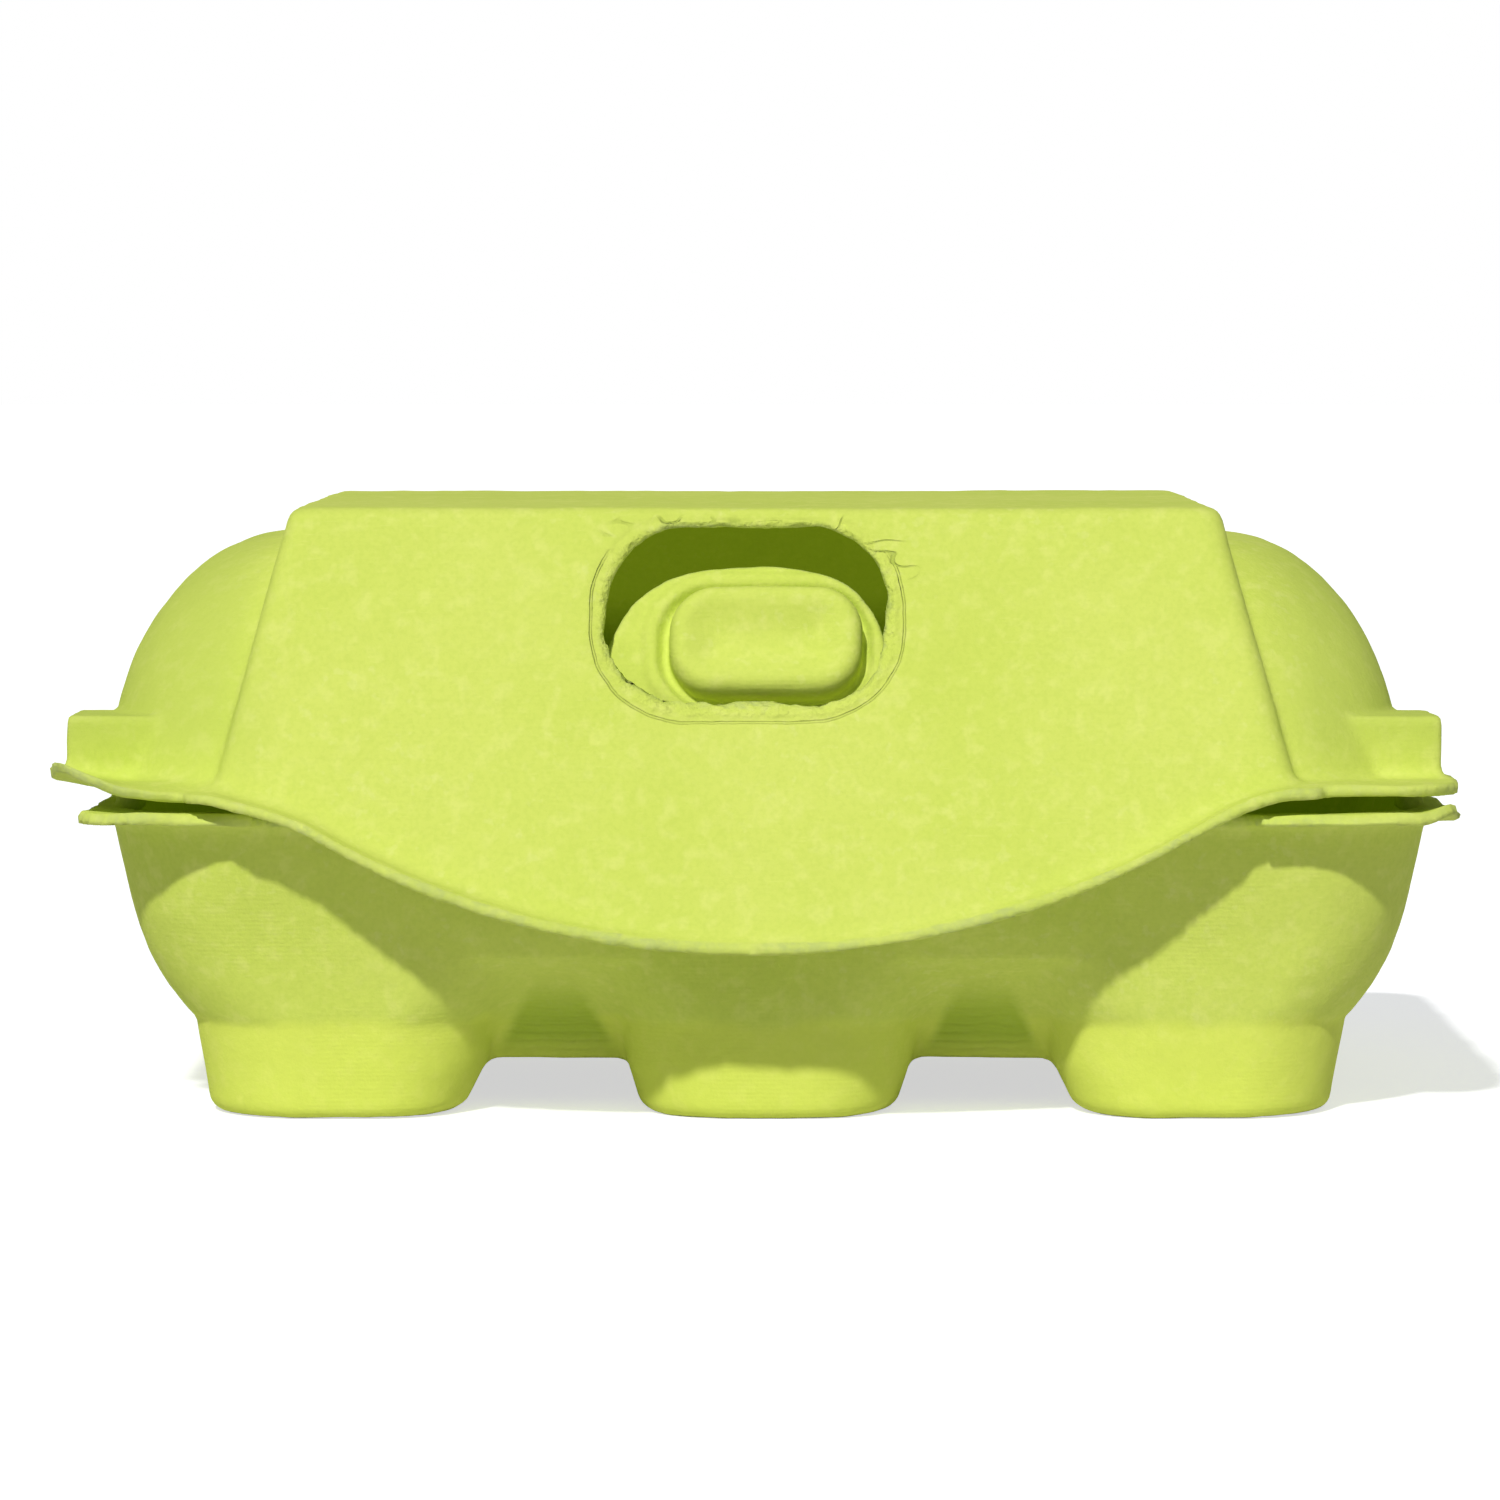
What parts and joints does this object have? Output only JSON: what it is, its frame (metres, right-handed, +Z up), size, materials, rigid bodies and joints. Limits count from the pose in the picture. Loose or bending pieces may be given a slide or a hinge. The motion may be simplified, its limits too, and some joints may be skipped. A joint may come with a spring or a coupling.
{
  "type": "egg carton",
  "caption": "Moulded-pulp egg carton: a tray of joined cells, a rear-hinged domed lid with a curved front apron and a lock window, and a lock flap with a button.",
  "frame": {"origin": "middle of the carton's footprint, on the surface that its feet stand on", "axes": "+X along the carton, -Y to the front with the lock window, +Z up"},
  "size_m": [0.15, 0.1054, 0.065],
  "materials": {
    "pulp": "matte"
  },
  "bodies": {
    "tray": {"front_left_cell": "pulp", "front_centre_cell": "pulp", "front_right_cell": "pulp", "rear_left_cell": "pulp", "rear_centre_cell": "pulp", "rear_right_cell": "pulp", "left_post": "pulp", "right_post": "pulp", "tray_rim": "pulp", "left_stub": "pulp", "right_stub": "pulp", "rear_hinge_strip": "pulp", "flap_crease": "pulp"},
    "lid": {"lid_saddle": "pulp", "lid_apron": "pulp", "lid_left_dome": "pulp", "lid_right_dome": "pulp", "lid_left_ear": "pulp", "lid_right_ear": "pulp", "lid_rim": "pulp"},
    "flap": {"lock_flap": "pulp", "lock_button": "pulp"}
  },
  "joints": [
    {"name": "lid_hinge", "type": "hinge", "parent": "tray", "child": "lid", "pos_m": [0, 0.0519, 0.0345], "axis": [-1, 0, 0], "range_deg": [0, 180], "deforming": ["rear_hinge_strip"]},
    {"name": "flap_hinge", "type": "hinge", "parent": "tray", "child": "flap", "pos_m": [0, -0.0442, 0.0342], "axis": [1, 0, 0], "range_deg": [-15, 5], "stiffness_Nm_per_rad": 0.01, "deforming": ["flap_crease"]}
  ]
}
